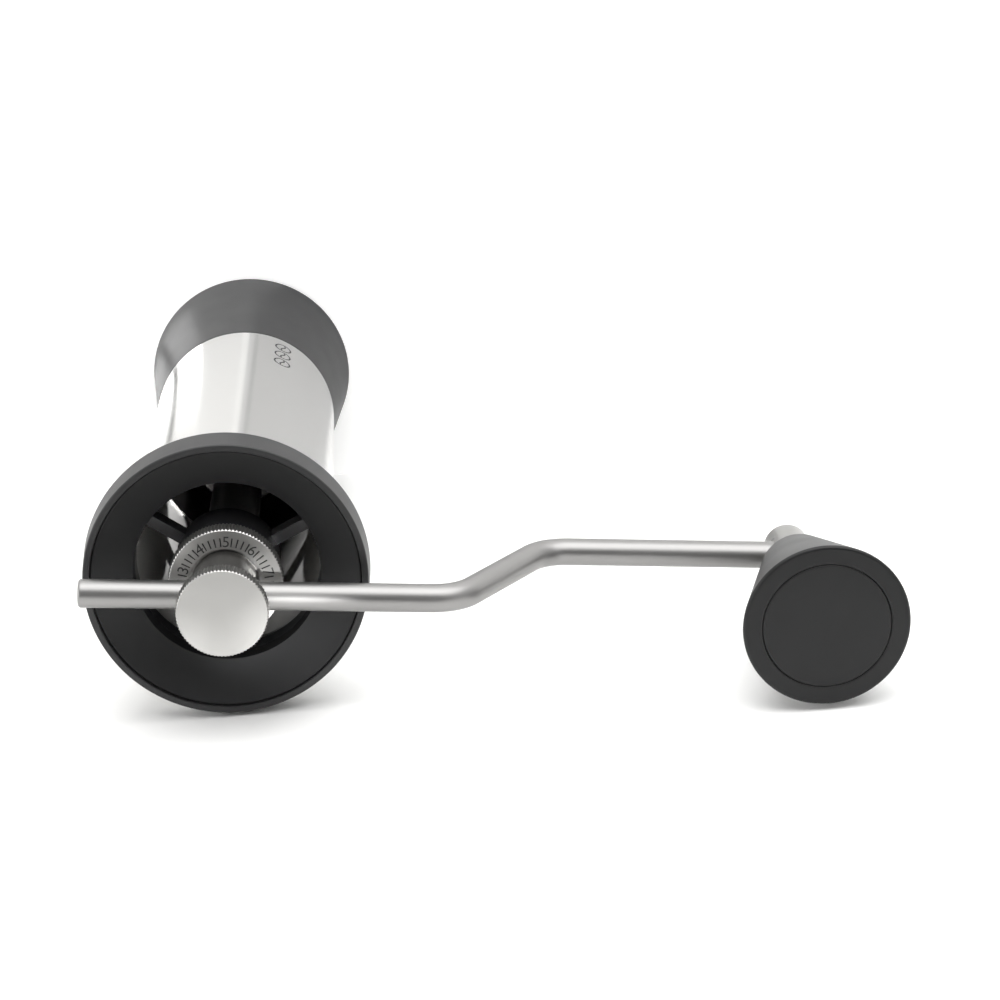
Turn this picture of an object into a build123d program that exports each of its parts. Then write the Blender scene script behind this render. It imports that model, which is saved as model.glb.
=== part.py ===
from build123d import *
from math import atan2, cos, degrees, hypot, pi, radians, sin
import os

# Hand crank coffee grinder, standing on its catch cup. Sizes are in millimetres.
# +Z is the grinding axis, pointing up to the crank. The origin is the centre of the foot.
# The crank arm points along -X. Pieces are listed from the floor upwards.

# ---- Heights of the whole grinder ----
CUP_HEIGHT = 57.0        # floor to the joint between cup and tube
RIM_TOP = 220.0          # floor to the lip of the hopper rim
DIAL_ABOVE_RIM = 2.0     # the dial face stands this far above the lip
CRANK_ABOVE_RIM = 11.0   # centre line of the crank where it crosses the axle

# ---- Catch cup ----
CUP_FLARE = 5.5          # how much wider the base is than the tube, in radius
CUP_WALL = 4.0
CUP_FLOOR = 4.0
FOOT_MARGIN = 4.5        # ring of bare cup left around the foot pad
FOOT_THICK = 2.0
FOOT_PROUD = 0.4         # the pad stands this far out of the cup
MAGNET_R = 1.2
MAGNET_DEPTH = 3.0
MAGNET_COUNT = 8

# ---- Tube ----
TUBE_R = 30.0
CHAMBER_WALL = 3.0       # wall around the bean chamber
SEAT_WALL = 2.0          # thinner wall at both ends, where inner pieces seat
SEAM = 0.2               # parting line between cup and tube
EDGE = 0.4               # small chamfer on turned edges

# ---- Hopper rim ----
RIM_OVERHANG = 10.8      # how far the rim reaches out past the tube, at its underside
RIM_TAPER = 0.7          # how much narrower the lip is, in radius
RIM_DEPTH = 11.0
RIM_LIP = 2.0            # width of the lip around the funnel
RIM_PLATE = 3.0          # thickness under the funnel
MOUTH_STEP = 1.5         # thickness of the funnel's sleeve inside the tube
FUNNEL_DEPTH = 8.0       # from the lip down to the mouth
FUNNEL_STEP = 0.6        # the funnel starts this far below the lip
SEAL_R = 0.9
RIM_SCREW_INSET = 5.2    # tube's outside to the screws' centres
RIM_SCREW_COUNT = 6

# ---- Ball bearings, two alike ----
BEARING_BORE_R = 6.0
BEARING_R = 12.0
BEARING_WIDTH = 6.0
RING_WALL = 1.9
BALL_R = 1.6
BALL_COUNT = 9

# ---- Bearing bridge and burr carrier ----
HUB_WALL = 3.0           # around a bearing
HUB_LIP = 2.0            # shoulder that a bearing seats against
BRIDGE_HEIGHT = 6.0
BRIDGE_RING_WALL = 1.5
ARM_COUNT = 3
ARM_WIDTH = 3.2
FIRST_ARM_ANGLE = 90.0
HUB_HEIGHT = 13.8
CARRIER_HEIGHT = 14.0
CARRIER_HUB_HEIGHT = 10.0
CARRIER_LIP = 4.0        # how far the carrier's funnel reaches in over the burrs

# ---- Burrs ----
OUTER_BURR_HEIGHT = 26.0
INNER_BURR_HEIGHT = 24.0
OUTER_BURR_WALL = 4.0    # at its widest bore
INNER_BURR_TOP_R = 13.5
GRIND_GAP = 0.6          # between the burrs at the bottom, dial at its middle
OUTER_BURR_TEETH = 30
INNER_BURR_TEETH = 30
CRUSHER_TEETH = 6
TOOTH_DEPTH = 0.7
CRUSHER_DEPTH = 2.6
TOOTH_LEAN = 18.0        # degrees that the teeth lean out of a plane through the axis
RETAINER_FLANGE = 8.0
SPIGOT_LENGTH = 8.0
SPIGOT_STEP = 3.8        # how far the spigot is set in from the tube's outside

# ---- Axle and dial ----
ADJUST_TRAVEL = 0.5      # the axle's travel each way from the middle
THREAD_STEP = 1.0        # how much wider the dial's thread is than the shank, in radius
HEAD_WALL = 5.4          # beside the crank rod
HEAD_TOP_ABOVE_CRANK = 9.2
DIAL_R = 16.2
DIAL_THICK = 5.9
DIAL_RECESS_GAP = 1.0    # around the axle's head
DIAL_RECESS = 1.8
DIAL_TEETH = 100
DIVISIONS = 50
NUMBERED = 10            # every fifth division carries a number in place of its tick
TICK_WIDTH = 0.3
TICK_DEPTH = 0.25
TICK_INSET = 0.6         # tick's inner end to the recess
TICK_LENGTH = 2.6
DETENT_INSET = 2.7       # hub's outside to the detent ball's circle
DETENT_BALL_R = 1.2
DETENT_DISC_THICK = 2.0
DETENT_POCKET = 3.6
SPACER_WALL = 1.3
KEY_WIDTH = 2.5
KEY_HEIGHT = 2.4
KEY_LENGTH = 12.0

# ---- Clamp ----
CLAMP_KNOB_R = 12.7
CLAMP_KNOB_THICK = 5.0
CLAMP_TEETH = 80
STUD_R = 3.0
PAD_THICK = 1.4
KNURL_DEPTH = 0.45

# ---- Crank ----
ROD_R = 4.0
TAIL_LENGTH = 40.0       # axle to the rod's free end
BEND_START = 64.6        # axle to the first bend's corner
BEND_END = 91.6          # axle to the second bend's corner
CRANK_LENGTH = 165.5     # axle to the knob's axis
CRANK_DROP = 40.5        # between the rod's two levels
BEND_R = 14.0

# ---- Knob ----
POST_WALL = 2.7          # beside the rod
POST_BELOW_ROD = 9.0
POST_ABOVE_ROD = 10.5
GRUB_R = 2.5
KNOB_HEIGHT = 46.0
KNOB_R = 23.8
KNOB_TAIL_R = 11.0
KNOB_BORDER = 5.9        # ring of the knob left around its cap
KNOB_CAP_THICK = 2.4
KNOB_AXLE_R = 3.0
KNOB_AXLE_HEAD_R = 6.0
KNOB_AXLE_HEAD = 3.0
BUSH_WALL = 2.0
BUSH_LENGTH = 8.0
BUSH_FLANGE = 0.8
BUSH_FLANGE_STEP = 2.0
WASHER_THICK = 0.8

# ---- Clearances ----
RUN_GAP = 0.05           # radial, of a turning shaft in its bore
SLIDE_GAP = 0.3          # radial, of the spigot in the cup
FREE_GAP = 0.3           # between pieces that pass each other
FACE_GAP = 0.1           # between flat faces that turn on each other

# ---- Derived radii ----
CUP_BASE_R = TUBE_R + CUP_FLARE
SEAT_R = TUBE_R - SEAT_WALL
CHAMBER_R = TUBE_R - CHAMBER_WALL
SPIGOT_R = TUBE_R - SPIGOT_STEP
CUP_MOUTH_R = SPIGOT_R + SLIDE_GAP
RIM_R = TUBE_R + RIM_OVERHANG
RIM_FACE_R = RIM_R - RIM_TAPER
FUNNEL_R = RIM_FACE_R - RIM_LIP
MOUTH_R = SEAT_R - MOUTH_STEP
RIM_SCREW_CIRCLE_R = TUBE_R + RIM_SCREW_INSET
BALL_CIRCLE_R = (BEARING_BORE_R + BEARING_R) / 2
HUB_R = BEARING_R + HUB_WALL
HUB_BORE_R = BEARING_R - HUB_LIP
BURR_BORE_R = SEAT_R - OUTER_BURR_WALL
INNER_BURR_R = BURR_BORE_R - GRIND_GAP
CARRIER_FLOOR_R = BURR_BORE_R - CARRIER_LIP
SHANK_R = BEARING_BORE_R - RUN_GAP
SLEEVE_BORE_R = BEARING_BORE_R + FREE_GAP
SLEEVE_R = SLEEVE_BORE_R + SPACER_WALL
THREAD_R = BEARING_BORE_R + THREAD_STEP
HEAD_R = ROD_R + HEAD_WALL
DIAL_RECESS_R = HEAD_R + DIAL_RECESS_GAP
TICK_FROM_R = DIAL_RECESS_R + TICK_INSET
DETENT_CIRCLE_R = HUB_R - DETENT_INSET
POST_R = ROD_R + POST_WALL
KNOB_CAP_R = KNOB_R - KNOB_BORDER
BUSH_R = KNOB_AXLE_R + BUSH_WALL
BUSH_FLANGE_R = BUSH_R + BUSH_FLANGE_STEP

# ---- Derived heights, floor upwards ----
TUBE_BOTTOM = CUP_HEIGHT + SEAM
RIM_BOTTOM = RIM_TOP - RIM_DEPTH
TUBE_TOP = RIM_BOTTOM + RIM_PLATE
DIAL_TOP = RIM_TOP + DIAL_ABOVE_RIM
DIAL_BOTTOM = DIAL_TOP - DIAL_THICK
CRANK_Z = RIM_TOP + CRANK_ABOVE_RIM
LOW_ROD_Z = CRANK_Z - CRANK_DROP
DETENT_TOP = DIAL_BOTTOM - FACE_GAP
HUB_TOP = DETENT_TOP - DETENT_DISC_THICK - FREE_GAP
HUB_BOTTOM = HUB_TOP - HUB_HEIGHT
BRIDGE_TOP = HUB_BOTTOM + BRIDGE_HEIGHT
RETAINER_TOP = TUBE_BOTTOM + SEAM + RETAINER_FLANGE
CARRIER_BOTTOM = RETAINER_TOP + OUTER_BURR_HEIGHT
CARRIER_TOP = CARRIER_BOTTOM + CARRIER_HEIGHT
CARRIER_HUB_BOTTOM = CARRIER_TOP - CARRIER_HUB_HEIGHT
INNER_BURR_TOP = RETAINER_TOP + INNER_BURR_HEIGHT
HEAD_BOTTOM = DIAL_TOP - DIAL_RECESS + ADJUST_TRAVEL + FREE_GAP
HEAD_TOP = CRANK_Z + HEAD_TOP_ABOVE_CRANK
POST_BOTTOM = LOW_ROD_Z - POST_BELOW_ROD
POST_TOP = LOW_ROD_Z + POST_ABOVE_ROD
KNOB_BOTTOM = POST_TOP + WASHER_THICK + FACE_GAP + BUSH_FLANGE
KNOB_TOP = KNOB_BOTTOM + KNOB_HEIGHT
KNOB_AXLE_TOP = KNOB_TOP - KNOB_CAP_THICK - KNOB_AXLE_HEAD - 1.0


# ---- Shape helpers ----
def turned(*corners):
    """Solid turned about Z from (radius, height) corners; a third number rounds that corner."""
    face = make_face(Polyline(*[corner[:2] for corner in corners], close=True))
    for corner in corners:
        if len(corner) == 3:
            face = fillet(face.vertices().sort_by_distance(corner[:2])[0], corner[2])
    return revolve(Plane.XZ * face, Axis.Z)


def ring(outer_r, inner_r, bottom, top):
    """Plain ring between two radii and two heights."""
    return turned((inner_r, bottom), (outer_r, bottom), (outer_r, top), (inner_r, top))


def disc(radius, bottom, top):
    """Plain disc or pin on the Z axis."""
    return turned((0, bottom), (radius, bottom), (radius, top), (0, top))


def knurled_disc(radius, bottom, top, teeth, edge):
    """Disc with straight pointed teeth around it, and its two rims chamfered through the teeth."""
    outline = []
    for step in range(2 * teeth):
        angle = pi * step / teeth
        reach = radius - KNURL_DEPTH * (step % 2)
        outline.append((reach * cos(angle), reach * sin(angle)))
    star = extrude(make_face(Polyline(*outline, close=True)), top - bottom)
    envelope = turned((0, bottom), (radius - edge, bottom), (radius, bottom + edge),
                      (radius, top - edge), (radius - edge, top), (0, top))
    return (Pos(0, 0, bottom) * star) & envelope


def hex_socket(across_flats, bottom, top):
    """Hexagonal prism to cut for a hex key."""
    prism = extrude(RegularPolygon(across_flats / 2, 6, major_radius=False), top - bottom)
    return Pos(0, 0, bottom) * prism


def coil(mean_r, wire_r, bottom, top, turns):
    """Open coil spring whose wire just reaches the two given heights."""
    height = top - bottom - 2 * wire_r
    path = Helix(height / turns, height, mean_r)
    section = Plane(path @ 0, z_dir=path % 0) * Circle(wire_r)
    return Pos(0, 0, bottom + wire_r) * sweep(section, path)


def arms(from_r, to_r, bottom, top):
    """Three radial arms, joined into one tool."""
    length = to_r - from_r
    arm = Pos(from_r + length / 2, 0, (bottom + top) / 2) * Box(length, ARM_WIDTH, top - bottom)
    return [location * arm for location in PolarLocations(0, ARM_COUNT, FIRST_ARM_ANGLE)]


def leaning_grooves(low, high, depth, width, count):
    """Grooves for burr teeth: slots along a cone from (radius, height) low to high."""
    length = 1.4 * hypot(high[0] - low[0], high[1] - low[1])
    tilt = degrees(atan2(high[0] - low[0], high[1] - low[1]))
    middle = Pos((low[0] + high[0]) / 2, 0, (low[1] + high[1]) / 2)
    slot = middle * Rot(0, tilt, 0) * Rot(TOOTH_LEAN, 0, 0) * Box(2 * depth, width, length)
    return [location * slot for location in PolarLocations(0, count)]


def bearing(bottom):
    """Outer ring, inner ring and balls of one deep-groove bearing."""
    top = bottom + BEARING_WIDTH
    centre = Pos(0, 0, (bottom + top) / 2)
    raceway = centre * Torus(BALL_CIRCLE_R, BALL_R + RUN_GAP)
    outer = ring(BEARING_R, BEARING_R - RING_WALL, bottom, top) - raceway
    inner = ring(BEARING_BORE_R + RING_WALL, BEARING_BORE_R, bottom, top) - raceway
    spots = PolarLocations(BALL_CIRCLE_R, BALL_COUNT)
    balls = Compound([centre * spot * Sphere(BALL_R) for spot in spots])
    return outer, inner, balls


# ---- Catch cup ----
def catch_cup():
    """Flared cup: a cone outside, and a mouth that takes the burr retainer's spigot."""
    ledge = TUBE_BOTTOM - SPIGOT_LENGTH - 1.5
    floor = FOOT_THICK + CUP_FLOOR
    body = turned((0, FOOT_PROUD), (CUP_BASE_R, FOOT_PROUD, 0.8), (TUBE_R, CUP_HEIGHT, EDGE),
                  (CUP_MOUTH_R, CUP_HEIGHT, EDGE), (CUP_MOUTH_R, ledge),
                  (CUP_MOUTH_R - 1.2, ledge - 1.2), (CUP_BASE_R - CUP_WALL, floor, 3.0), (0, floor))
    pocket = disc(CUP_BASE_R - FOOT_MARGIN, FOOT_PROUD - 1, FOOT_THICK)
    return body - pocket - magnet_holes()


def magnet_holes():
    """Places of the magnets in the cup's upper edge, also the shape of the magnets."""
    spots = PolarLocations((CUP_MOUTH_R + TUBE_R) / 2, MAGNET_COUNT)
    magnet = disc(MAGNET_R, CUP_HEIGHT - MAGNET_DEPTH, CUP_HEIGHT)
    return [spot * magnet for spot in spots]


def foot_pad():
    """Round rubber pad that the grinder stands on."""
    radius = CUP_BASE_R - FOOT_MARGIN
    return turned((0, 0), (radius, 0, EDGE), (radius, FOOT_THICK), (0, FOOT_THICK))


# ---- Body ----
def body_tube():
    """Steel tube: thick around the beans, thinner at both ends where pieces seat."""
    return turned((SEAT_R, TUBE_BOTTOM), (TUBE_R, TUBE_BOTTOM, EDGE), (TUBE_R, TUBE_TOP),
                  (SEAT_R, TUBE_TOP), (SEAT_R, HUB_BOTTOM), (CHAMBER_R, HUB_BOTTOM),
                  (CHAMBER_R, CARRIER_TOP), (SEAT_R, CARRIER_TOP))


def rim_collar():
    """Outer ring of the hopper rim, with a groove for the seal on the tube."""
    seal_z = (RIM_BOTTOM + TUBE_TOP) / 2
    body = turned((TUBE_R, RIM_BOTTOM), (RIM_R, RIM_BOTTOM, 1.0), (RIM_FACE_R, RIM_TOP, 0.9),
                  (FUNNEL_R, RIM_TOP, EDGE), (FUNNEL_R, TUBE_TOP), (TUBE_R, TUBE_TOP))
    groove = ring(TUBE_R + 2 * SEAL_R, TUBE_R - 1, seal_z - SEAL_R, seal_z + SEAL_R)
    return body - groove - rim_screw_blanks()


def rim_seal():
    """Rubber ring between the rim collar and the tube."""
    return Pos(0, 0, (RIM_BOTTOM + TUBE_TOP) / 2) * Torus(TUBE_R + SEAL_R, SEAL_R)


def funnel_insert():
    """Funnel face of the rim, with a sleeve that reaches down the tube to the bridge."""
    mouth_z = RIM_TOP - FUNNEL_DEPTH
    body = turned((MOUTH_R, BRIDGE_TOP), (SEAT_R, BRIDGE_TOP), (SEAT_R, TUBE_TOP),
                  (FUNNEL_R, TUBE_TOP), (FUNNEL_R, RIM_TOP - FUNNEL_STEP, 0.5), (MOUTH_R, mouth_z, 0.5))
    return body - rim_screw_blanks()


def rim_screw_blanks():
    """Rim screws without their hex sockets, which is also the shape of their holes."""
    head_top = RIM_BOTTOM + 2.2
    thread_top = TUBE_TOP + 3.0
    blank = turned((0, RIM_BOTTOM), (2.8, RIM_BOTTOM), (2.8, head_top), (1.5, head_top),
                   (1.5, thread_top), (0, thread_top))
    return [spot * blank for spot in PolarLocations(RIM_SCREW_CIRCLE_R, RIM_SCREW_COUNT)]


def rim_screws():
    """Screws that hold the funnel insert from below, through the collar."""
    socket = hex_socket(2.0, RIM_BOTTOM - 1, RIM_BOTTOM + 1.4)
    spots = PolarLocations(RIM_SCREW_CIRCLE_R, RIM_SCREW_COUNT)
    return [blank - spot * socket for blank, spot in zip(rim_screw_blanks(), spots)]


def bearing_bridge():
    """Three-armed bridge across the hopper, with the upper bearing's seat in its hub."""
    rim = ring(SEAT_R, SEAT_R - BRIDGE_RING_WALL, HUB_BOTTOM, BRIDGE_TOP)
    hub = turned((HUB_BORE_R, HUB_BOTTOM), (HUB_R, HUB_BOTTOM), (HUB_R, HUB_TOP, 0.6),
                 (BEARING_R, HUB_TOP), (BEARING_R, HUB_TOP - BEARING_WIDTH),
                 (HUB_BORE_R, HUB_TOP - BEARING_WIDTH))
    return hub + rim + arms(HUB_R - 1, SEAT_R - 1, HUB_BOTTOM, BRIDGE_TOP)


def burr_carrier():
    """Lower three-armed carrier: its ring funnels beans to the burrs and its hub holds a bearing."""
    seat_top = CARRIER_HUB_BOTTOM + BEARING_WIDTH
    funnel = turned((CARRIER_FLOOR_R, CARRIER_BOTTOM), (SEAT_R, CARRIER_BOTTOM),
                    (SEAT_R, CARRIER_TOP), (SEAT_R - BRIDGE_RING_WALL, CARRIER_TOP))
    hub = turned((BEARING_R, CARRIER_HUB_BOTTOM), (HUB_R, CARRIER_HUB_BOTTOM),
                 (HUB_R, CARRIER_TOP, 1.0), (HUB_BORE_R, CARRIER_TOP),
                 (HUB_BORE_R, seat_top), (BEARING_R, seat_top))
    return hub + funnel + arms(HUB_R - 1, SEAT_R - 1, CARRIER_HUB_BOTTOM, CARRIER_TOP)


def outer_burr():
    """Fixed burr: a ring with a toothed cone inside, narrower at the top."""
    low = (BURR_BORE_R, RETAINER_TOP)
    high = (CARRIER_FLOOR_R, CARRIER_BOTTOM)
    body = turned(low, (SEAT_R, RETAINER_TOP), (SEAT_R, CARRIER_BOTTOM), high)
    return body - leaning_grooves(low, high, TOOTH_DEPTH, 1.2, OUTER_BURR_TEETH)


def burr_retainer():
    """Ring that holds the burrs and carrier up in the tube; its spigot centres the cup."""
    flange = RETAINER_TOP - RETAINER_FLANGE
    bottom = TUBE_BOTTOM - SPIGOT_LENGTH
    body = turned((BURR_BORE_R, bottom), (SPIGOT_R, bottom, 0.5), (SPIGOT_R, flange),
                  (SEAT_R, flange), (SEAT_R, RETAINER_TOP), (BURR_BORE_R, RETAINER_TOP))
    return body - ring(SPIGOT_R + 1, SPIGOT_R - 1.1, bottom + 3.0, bottom + 4.8)


def spigot_seal():
    """Rubber ring in the spigot that steadies the cup."""
    height = TUBE_BOTTOM - SPIGOT_LENGTH + 3.9
    return Pos(0, 0, height) * Torus(SPIGOT_R - 0.5, 0.6)


# ---- Rotor: what turns with the crank but keeps its height ----
def spacer_sleeve():
    """Tube between the two inner rings, slotted for the axle's key."""
    low = CARRIER_HUB_BOTTOM + BEARING_WIDTH
    high = HUB_TOP - BEARING_WIDTH
    slot_height = KEY_LENGTH + 2 * (ADJUST_TRAVEL + FREE_GAP)
    slot = Pos(SLEEVE_R, 0, key_height()) * Box(2 * SLEEVE_R, KEY_WIDTH + 2 * RUN_GAP, slot_height)
    return ring(SLEEVE_R, SLEEVE_BORE_R, low, high) - slot


def key_height():
    """Height of the middle of the axle's key."""
    return (CARRIER_TOP + HUB_BOTTOM) / 2


def detent_disc():
    """Disc under the dial: a track for the detent ball, with one dimple for each division."""
    low = HUB_TOP + FREE_GAP
    body = ring(HUB_R - 0.8, THREAD_R + FREE_GAP, low, DETENT_TOP)
    boss = ring(BEARING_BORE_R + RING_WALL, THREAD_R + FREE_GAP, HUB_TOP, low)
    track = ring(DETENT_CIRCLE_R + DETENT_BALL_R, DETENT_CIRCLE_R - DETENT_BALL_R,
                 DETENT_TOP - 0.7, DETENT_TOP + 1)
    dimple = disc(0.45, DETENT_TOP - 1.1, DETENT_TOP)
    return body + boss - track - [spot * dimple for spot in PolarLocations(DETENT_CIRCLE_R, DIVISIONS)]


def preload_spring():
    """Coil that pushes the inner burr down from the lower bearing."""
    return coil(BEARING_BORE_R + 1.3, 0.55, INNER_BURR_TOP + RUN_GAP, CARRIER_HUB_BOTTOM, 3)


# ---- Axle: what turns with the crank and rises with the dial ----
def drive_axle():
    """Axle with the crank's socket at its head, the dial's thread, and a plain shank below."""
    thread_low = DETENT_TOP - DETENT_DISC_THICK + ADJUST_TRAVEL + FREE_GAP
    bottom = RETAINER_TOP + 1.0
    body = turned((0, bottom), (SHANK_R, bottom), (SHANK_R, thread_low), (THREAD_R, thread_low),
                  (THREAD_R, HEAD_BOTTOM), (HEAD_R, HEAD_BOTTOM), (HEAD_R, HEAD_TOP, EDGE), (0, HEAD_TOP))
    crank_bore = Pos(0, 0, CRANK_Z) * Rot(0, 90, 0) * Cylinder(ROD_R + RUN_GAP, 3 * HEAD_R)
    stud_bore = disc(STUD_R + RUN_GAP, CRANK_Z, HEAD_TOP + 1)
    screw_bore = disc(STUD_R, bottom - 1, bottom + 16.0)
    return body - crank_bore - stud_bore - screw_bore - axle_key()


def axle_key():
    """Parallel key that makes the spacer sleeve turn with the axle."""
    reach = BEARING_BORE_R - 2.0
    place = Pos(reach + KEY_HEIGHT / 2, 0, key_height())
    return place * Box(KEY_HEIGHT, KEY_WIDTH, KEY_LENGTH)


def inner_burr():
    """Turning burr: a cone with crushing grooves at its top and fine teeth at its bottom."""
    low = (INNER_BURR_R, RETAINER_TOP)
    high = (INNER_BURR_TOP_R, INNER_BURR_TOP)
    middle = ((low[0] + high[0]) / 2, (low[1] + high[1]) / 2)
    body = turned((SHANK_R, low[1]), low, high, (SHANK_R, high[1]))
    body -= leaning_grooves(middle, high, CRUSHER_DEPTH, 3.4, CRUSHER_TEETH)
    return body - leaning_grooves(low, middle, TOOTH_DEPTH, 1.2, INNER_BURR_TEETH)


def burr_washer():
    """Washer between the inner burr and its screw."""
    return ring(9.0, STUD_R, RETAINER_TOP - 1.6, RETAINER_TOP)


def burr_screw():
    """Screw that holds the inner burr on the axle from below."""
    seat = RETAINER_TOP - 1.6
    body = turned((0, seat - 4.0), (5.5, seat - 4.0, EDGE), (5.5, seat), (STUD_R, seat),
                  (STUD_R, seat + 16.0), (0, seat + 16.0))
    return body - hex_socket(5.0, seat - 5.0, seat - 1.5)


# ---- Adjusting dial ----
def detent_pocket():
    """Place of the detent ball and spring, which sits under one numbered division."""
    return Rot(0, 0, FIRST_ARM_ANGLE) * Pos(DETENT_CIRCLE_R, 0, 0)


def adjust_dial():
    """Knurled nut with a recess round the axle's head and ticks between its numbers."""
    body = knurled_disc(DIAL_R, DIAL_BOTTOM, DIAL_TOP, DIAL_TEETH, 0.5)
    body -= disc(THREAD_R + RUN_GAP, DIAL_BOTTOM - 1, DIAL_TOP + 1)
    body -= disc(DIAL_RECESS_R, DIAL_TOP - DIAL_RECESS, DIAL_TOP + 1)
    body -= detent_pocket() * disc(DETENT_BALL_R + RUN_GAP, DIAL_BOTTOM - 1, DIAL_BOTTOM + DETENT_POCKET)
    tick_middle = Pos(TICK_FROM_R + TICK_LENGTH / 2, 0, DIAL_TOP)
    tick = tick_middle * Box(TICK_LENGTH, TICK_WIDTH, 2 * TICK_DEPTH)
    every = DIVISIONS // NUMBERED
    marks = [number for number in range(DIVISIONS) if number % every]
    return body - [Rot(0, 0, FIRST_ARM_ANGLE + number * 360 / DIVISIONS) * tick for number in marks]


def detent_ball():
    """Ball that clicks into the detent disc."""
    return detent_pocket() * Pos(0, 0, DIAL_BOTTOM + 0.5) * Sphere(DETENT_BALL_R)


def detent_spring():
    """Small coil behind the detent ball."""
    low = DIAL_BOTTOM + 0.5 + DETENT_BALL_R
    return detent_pocket() * coil(0.8, 0.18, low, DIAL_BOTTOM + DETENT_POCKET, 3)


# ---- Clamp ----
def clamp_pad():
    """Small pad that presses on the crank rod."""
    low = CRANK_Z + ROD_R + RUN_GAP
    return disc(STUD_R, low, low + PAD_THICK)


def clamp_knob():
    """Knurled cap with a bore for its stud."""
    low = HEAD_TOP + FREE_GAP
    body = knurled_disc(CLAMP_KNOB_R, low, low + CLAMP_KNOB_THICK, CLAMP_TEETH, 0.45)
    return body - disc(STUD_R, low - 1, low + CLAMP_KNOB_THICK / 2)


def clamp_stud():
    """Stud that runs down from the clamp knob to the pad."""
    low = CRANK_Z + ROD_R + RUN_GAP + PAD_THICK
    return disc(STUD_R, low, HEAD_TOP + FREE_GAP + CLAMP_KNOB_THICK / 2)


# ---- Crank ----
def crank_rod():
    """Round rod with a double bend that lowers its far end."""
    path = FilletPolyline((TAIL_LENGTH, 0, CRANK_Z), (-BEND_START, 0, CRANK_Z),
                          (-BEND_END, 0, LOW_ROD_Z), (-CRANK_LENGTH, 0, LOW_ROD_Z), radius=BEND_R)
    rod = sweep(Plane(path @ 0, z_dir=path % 0) * Circle(ROD_R), path)
    return fillet(rod.edges().group_by(Axis.X)[-1], 0.8)


def at_knob(shape):
    """Move a shape from the grinding axis to the knob's axis."""
    return Pos(-CRANK_LENGTH, 0, 0) * shape


def knob_post():
    """Steel post across the rod's end, drilled for the rod, the knob's axle and a grub screw."""
    body = turned((0, POST_BOTTOM), (POST_R, POST_BOTTOM, 0.6), (POST_R, POST_TOP, 0.6), (0, POST_TOP))
    body -= Pos(POST_R, 0, LOW_ROD_Z) * Rot(0, 90, 0) * Cylinder(ROD_R, 2 * POST_R)
    body -= disc(GRUB_R, POST_BOTTOM - 1, LOW_ROD_Z - ROD_R)
    body -= disc(KNOB_AXLE_R, LOW_ROD_Z + ROD_R + 0.5, POST_TOP + 1)
    return at_knob(body)


def post_grub_screw():
    """Grub screw that locks the rod in the post."""
    body = disc(GRUB_R, POST_BOTTOM + 0.6, LOW_ROD_Z - ROD_R)
    return at_knob(body - hex_socket(2.5, POST_BOTTOM, POST_BOTTOM + 2.6))


def thrust_washer():
    """Washer between the post and the turning knob."""
    return at_knob(ring(POST_R - 0.4, KNOB_AXLE_R, POST_TOP, POST_TOP + WASHER_THICK))


def knob_axle():
    """Shoulder screw that the knob turns on."""
    head = KNOB_AXLE_TOP
    body = turned((0, LOW_ROD_Z + ROD_R + 0.5), (KNOB_AXLE_R, LOW_ROD_Z + ROD_R + 0.5),
                  (KNOB_AXLE_R, head), (KNOB_AXLE_HEAD_R, head), (KNOB_AXLE_HEAD_R, head + KNOB_AXLE_HEAD),
                  (0, head + KNOB_AXLE_HEAD))
    return at_knob(body - hex_socket(4.0, head + 1.0, head + KNOB_AXLE_HEAD + 1))


# ---- Knob ----
def knob_shell():
    """Conical knob, wide end up, bored for its bushes and recessed for its cap."""
    cap_z = KNOB_TOP - KNOB_CAP_THICK
    well_z = KNOB_AXLE_TOP - FACE_GAP
    well_r = KNOB_AXLE_HEAD_R + 1.5
    return at_knob(turned((BUSH_R, KNOB_BOTTOM), (KNOB_TAIL_R, KNOB_BOTTOM, 1.0),
                          (KNOB_R, KNOB_TOP, 1.6), (KNOB_CAP_R, KNOB_TOP), (KNOB_CAP_R, cap_z),
                          (well_r, cap_z), (well_r, well_z), (BUSH_R, well_z)))


def knob_end_cap():
    """Disc that closes the knob over its axle."""
    return at_knob(turned((0, KNOB_TOP - KNOB_CAP_THICK), (KNOB_CAP_R, KNOB_TOP - KNOB_CAP_THICK),
                          (KNOB_CAP_R, KNOB_TOP, 0.5), (0, KNOB_TOP)))


def lower_bush():
    """Flanged bush at the knob's narrow end."""
    bore = KNOB_AXLE_R + RUN_GAP
    low = KNOB_BOTTOM - BUSH_FLANGE
    return at_knob(turned((bore, low), (BUSH_FLANGE_R, low), (BUSH_FLANGE_R, KNOB_BOTTOM),
                          (BUSH_R, KNOB_BOTTOM), (BUSH_R, KNOB_BOTTOM + BUSH_LENGTH),
                          (bore, KNOB_BOTTOM + BUSH_LENGTH)))


def upper_bush():
    """Plain bush under the head of the knob's axle."""
    top = KNOB_AXLE_TOP - FACE_GAP
    return at_knob(ring(BUSH_R, KNOB_AXLE_R + RUN_GAP, top - BUSH_LENGTH, top))


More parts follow.
